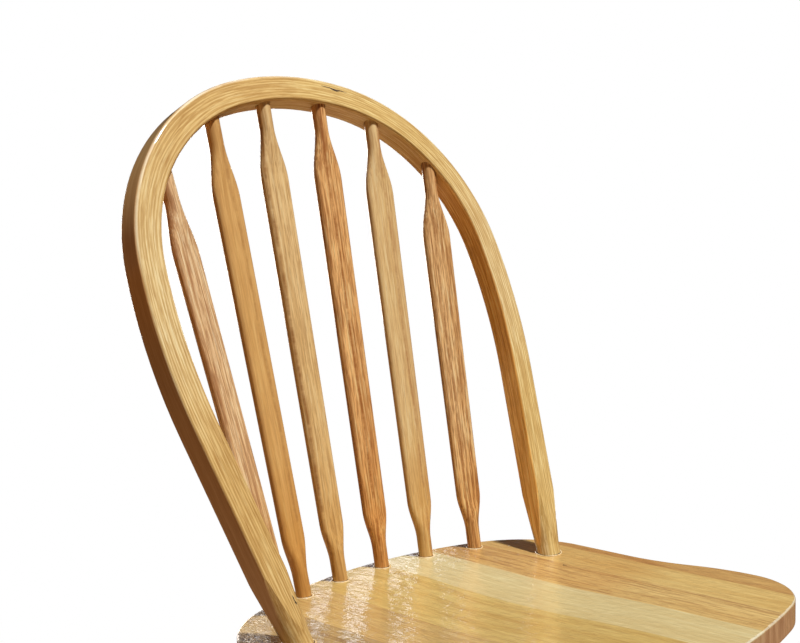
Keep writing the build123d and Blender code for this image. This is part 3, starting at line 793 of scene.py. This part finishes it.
def seat_rings():
    pale = lacquer("lacquer_ring")
    seam = bare_crack("seam_shade")
    spots = []
    for number in range(1, 7):
        foot, top = ends_of(f"spindle_{number}")
        spots.append((f"spindle_{number}", foot, (top - foot).normalized(), SPINDLE_FOOT_RADIUS))
    # The bow's feet are named as the photograph shows them
    for side, name in ((-1, "left"), (1, "right")):
        start = bow_foot + ACROSS * (side * BOW_FOOT_X) + INTO_BOW * (BOW_DEPTH / 2)
        run = ACROSS * (side * sin(splay)) + UP_BOW * cos(splay)
        spots.append((f"bow_{name}", start, run, BOW_FOOT_RADIUS))
    for name, start, run, radius in spots:
        seat_ring(f"ring_{name}", start, run, radius + RING_OFFSET, RING_HALF_WIDTH, 0, pale)
        seat_ring(f"seam_{name}", start, run, radius, SEAM_HALF_WIDTH, SEAM_HEIGHT, seam)


# Small open checks in the wood, as places across the bow's front face and up its lean, each
# with its half width
CROWN_CHECK = (
    ((0.0345, 0.4887), 0.0001), ((0.0385, 0.4879), 0.0004), ((0.0440, 0.4868), 0.0004),
    ((0.0475, 0.4852), 0.0009), ((0.0515, 0.4842), 0.0010), ((0.0555, 0.4843), 0.0005),
    ((0.0630, 0.4829), 0.0001),
)
LEG_CHECK = (
    ((-0.1550, 0.0425), 0.0001), ((-0.1545, 0.0400), 0.0005), ((-0.1541, 0.0380), 0.0003),
    ((-0.1535, 0.0360), 0.0007), ((-0.1528, 0.0343), 0.0001),
)

# Dark specks in the seat, as places across it and behind the bow's feet, each with its half
# width, and their outline as shares of that: how far back and how wide
SEAT_SPECKS = (((0.1306, -0.0253), 0.0007), ((0.1305, -0.0278), 0.0005))
SPECK_OUTLINE = ((-1.6, 0.1), (-0.8, 0.8), (0.2, 1.0), (1.0, 0.7), (1.7, 0.1))

# How far a check or speck lies above the face that it marks
CRACK_LIFT = 0.00004


# Bare wood in the dark, deep in a crack or a seam
def bare_crack(name):
    material, *_ = mottled(
        name, scale=1800.0, detail=3.0, levels=(0.4, 0.7),
        colours=(colour(0.035, 0.022, 0.014), colour(0.12, 0.065, 0.03)), roughness=(0.7, 0.9),
    )
    return material


# A thin dark sliver laid on the face that the check opens in
def sliver(name, places, to_world, out, material):
    mesh_builder = bmesh.new()
    pairs = []
    for index, ((across, up), half) in enumerate(places):
        before = Vector(places[max(index - 1, 0)][0])
        after = Vector(places[min(index + 1, len(places) - 1)][0])
        along = (after - before).normalized()
        aside = Vector((-along.y, along.x)) * half
        rims = [to_world(across + sign * aside.x, up + sign * aside.y) for sign in (1, -1)]
        pairs.append([mesh_builder.verts.new(rim + out * CRACK_LIFT) for rim in rims])
    for (upper, lower), (next_upper, next_lower) in zip(pairs, pairs[1:]):
        mesh_builder.faces.new((upper, lower, next_lower, next_upper))
    add_piece(name, mesh_builder, material)


def on_bow_face(across, up):
    return bow_foot + ACROSS * across + UP_BOW * up


def on_seat(across, back):
    return bow_foot + Vector((across, back, 0))


def checks():
    material = bare_crack("check_wood")
    sliver("crown_check", CROWN_CHECK, on_bow_face, -INTO_BOW, material)
    sliver("leg_check", LEG_CHECK, on_bow_face, -INTO_BOW, material)
    for number, ((across, back), half) in enumerate(SEAT_SPECKS, 1):
        places = [((across, back + share * half), width * half) for share, width in SPECK_OUTLINE]
        sliver(f"seat_speck_{number}", places, on_seat, UP, material)


# The floor's disc
FLOOR_SIDES = 64
FLOOR_REACH = 60.0

# Its colour to the camera and to the other rays, the share of plain white that the camera sees
# near the chair, and the distances between which near turns into far
FLOOR_PAINT = colour(0.9, 0.9, 0.9)
FLOOR_BOUNCE_NEAR = colour(0.60, 0.37, 0.21)
FLOOR_BOUNCE_FAR = colour(0.20, 0.10, 0.045)
FLOOR_GLOW = 0.55
FLOOR_FADE = (0.5, 1.6)


# White to the camera and dimmer to the other rays. It holds a shadow near the chair, and is
# plain white far off.
def floor_material(name):
    material = bpy.data.materials.new(name)
    material.use_nodes = True
    tree = material.node_tree
    tree.nodes.clear()
    f = Formula(tree)
    seen = tree.nodes.new("ShaderNodeLightPath").outputs["Is Camera Ray"]
    fade = f.ramp(f.vector("LENGTH", f.place()), *FLOOR_FADE)
    bounce = f.mix(fade, FLOOR_BOUNCE_NEAR, FLOOR_BOUNCE_FAR)
    diffuse = tree.nodes.new("ShaderNodeBsdfDiffuse")
    f.link(f.mix(seen, bounce, FLOOR_PAINT), diffuse.inputs["Color"])
    glow = tree.nodes.new("ShaderNodeEmission")
    glow.inputs["Color"].default_value = colour(1.0, 1.0, 1.0)
    mixed = tree.nodes.new("ShaderNodeMixShader")
    f.link(f.product(seen, f.span(fade, FLOOR_GLOW, 1.0)), mixed.inputs[0])
    tree.links.new(diffuse.outputs[0], mixed.inputs[1])
    tree.links.new(glow.outputs[0], mixed.inputs[2])
    output = tree.nodes.new("ShaderNodeOutputMaterial")
    tree.links.new(mixed.outputs[0], output.inputs[0])
    return material


def floor():
    angles = [2 * pi * step / FLOOR_SIDES for step in range(FLOOR_SIDES)]
    points = [(FLOOR_REACH * cos(angle), FLOOR_REACH * sin(angle), 0) for angle in angles]
    mesh = bpy.data.meshes.new("floor")
    mesh.from_pydata(points, [], [tuple(range(FLOOR_SIDES))])
    mesh.materials.append(floor_material("floor_paint"))
    plane = bpy.data.objects.new("floor", mesh)
    bpy.context.collection.objects.link(plane)


# Tint and strength of the room's light on the chair, then the same with the kind of ray that
# sees it otherwise: a dim warm light in reflections, and white to the camera
ROOM_LIGHT = (colour(1.0, 0.60, 0.38), 0.08)
ROOM_SEEN = (
    ("Is Glossy Ray", colour(1.0, 0.80, 0.62), 0.06),
    ("Is Camera Ray", colour(1.0, 1.0, 1.0), 1.0),
)


def surround():
    world = bpy.data.worlds.new("studio")
    bpy.context.scene.world = world
    world.use_nodes = True
    tree = world.node_tree
    tree.nodes.clear()

    def backdrop(tint, strength):
        shader = tree.nodes.new("ShaderNodeBackground")
        shader.inputs["Color"].default_value = tint
        shader.inputs["Strength"].default_value = strength
        return shader.outputs[0]

    rays = tree.nodes.new("ShaderNodeLightPath")
    mixed = backdrop(*ROOM_LIGHT)
    for ray, tint, strength in ROOM_SEEN:
        chooser = tree.nodes.new("ShaderNodeMixShader")
        tree.links.new(rays.outputs[ray], chooser.inputs[0])
        tree.links.new(mixed, chooser.inputs[1])
        tree.links.new(backdrop(tint, strength), chooser.inputs[2])
        mixed = chooser.outputs[0]
    output = tree.nodes.new("ShaderNodeOutputWorld")
    tree.links.new(mixed, output.inputs[0])


# Each lamp: its name, place, width, height, power in watts and tint. The key is high in front
# of the chair, three upright slats behind it give the gloss on the seat, and the fill is a weak
# light low behind it for its shaded back.
LAMPS = (
    ("key", Vector((0.75, -1.80, 6.18)), 0.45, 0.45, 465.0, (1.0, 0.98, 0.95)),
    ("slat_1", Vector((1.64, 2.80, 1.98)), 0.26, 0.76, 1.4, (1.0, 0.70, 0.38)),
    ("slat_2", Vector((2.00, 2.80, 1.98)), 0.22, 0.76, 1.15, (0.95, 0.97, 1.05)),
    ("slat_3", Vector((2.34, 2.80, 1.98)), 0.22, 0.76, 2.1, (0.95, 0.97, 1.05)),
    ("fill", Vector((1.20, 3.00, 0.60)), 1.60, 0.70, 26.0, (1.0, 0.90, 0.80)),
)
LAMP_TARGET = Vector((0, 0, 0.6))


def lights():
    for name, place, width, height, power, tint in LAMPS:
        data = bpy.data.lights.new(name, "AREA")
        data.shape = "RECTANGLE"
        data.size = width
        data.size_y = height
        data.energy = power
        data.color = tint
        light = bpy.data.objects.new(name, data)
        bpy.context.collection.objects.link(light)
        light.location = place
        light.rotation_mode = "QUATERNION"
        light.rotation_quaternion = (LAMP_TARGET - place).to_track_quat("-Z", "Y")
        light.visible_camera = False


def camera():
    data = bpy.data.cameras.new("camera")
    view = bpy.data.objects.new("camera", data)
    bpy.context.collection.objects.link(view)
    data.sensor_fit = "HORIZONTAL"
    data.sensor_width = SENSOR_WIDTH_MM
    data.lens = FOCAL_PIXELS / PHOTO_WIDTH * SENSOR_WIDTH_MM
    data.shift_x = (PHOTO_WIDTH / 2 - AXIS_PIXEL_X) / PHOTO_WIDTH
    data.shift_y = (AXIS_PIXEL_Y - PHOTO_HEIGHT / 2) / PHOTO_WIDTH

    # The view's own axes, turned by its roll
    azimuth = radians(CAMERA_AZIMUTH)
    elevation = radians(CAMERA_ELEVATION)
    back = Vector((sin(azimuth) * cos(elevation), -cos(azimuth) * cos(elevation), sin(elevation)))
    right = UP.cross(back).normalized()
    up = back.cross(right)
    roll = radians(CAMERA_ROLL)
    turned_right = right * cos(roll) + up * sin(roll)
    turned_up = up * cos(roll) - right * sin(roll)
    rotation = Matrix((turned_right, turned_up, back)).transposed()
    view.location = bow_foot + CAMERA_PLACE
    view.rotation_mode = "QUATERNION"
    view.rotation_quaternion = rotation.to_quaternion()
    bpy.context.scene.camera = view


seat()
bow()
spindles()
base()
glides()
seat_rings()
checks()
floor()
surround()
lights()
camera()

bpy.context.scene.view_settings.view_transform = "Standard"
